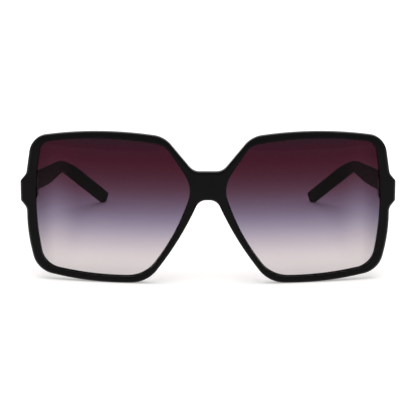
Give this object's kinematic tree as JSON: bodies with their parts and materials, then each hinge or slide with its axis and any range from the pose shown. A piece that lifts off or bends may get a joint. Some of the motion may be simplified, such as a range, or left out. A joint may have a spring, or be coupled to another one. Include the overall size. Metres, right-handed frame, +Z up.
{
  "type": "oversized sunglasses",
  "caption": "Oversized square sunglasses with a curved black rim, gradient lenses, a plain bridge and hinged temples whose tips bend down and inward.",
  "frame": {"origin": "floor point under the middle of the open sunglasses' box, standing on the rim bottoms and temple tips", "axes": "+Z up, the front looks along -Y, the temples run back along +Y, +X is the wearer's left"},
  "size_m": [0.15, 0.155, 0.0612],
  "materials": {
    "frame_black": "polished black plastic",
    "gradient_lens": "clear plastic tinted from dark plum at the top to nearly clear at the bottom",
    "hinge_metal": "dark plated",
    "screw_metal": "dark plated, machined",
    "core_metal": "drawn wire"
  },
  "bodies": {
    "front": {"front_frame": "frame_black", "lens_left": "gradient_lens", "lens_right": "gradient_lens", "nose_pad_left": "frame_black", "nose_pad_right": "frame_black", "hinge_front_leaf_left": "hinge_metal", "hinge_front_leaf_right": "hinge_metal", "hinge_screw_left": "screw_metal", "hinge_screw_right": "screw_metal"},
    "left_temple": {"hinge_temple_leaf_left": "hinge_metal", "temple_left": "frame_black", "temple_core_left": "core_metal"},
    "right_temple": {"hinge_temple_leaf_right": "hinge_metal", "temple_right": "frame_black", "temple_core_right": "core_metal"}
  },
  "joints": [
    {"name": "left_temple_fold", "type": "hinge", "parent": "front", "child": "left_temple", "pos_m": [0.07055, -0.05648, 0.03634], "axis": [0, 0, 1], "range_deg": [0, 83]},
    {"name": "right_temple_fold", "type": "hinge", "parent": "front", "child": "right_temple", "pos_m": [-0.07055, -0.05648, 0.03634], "axis": [0, 0, -1], "range_deg": [0, 73]}
  ]
}
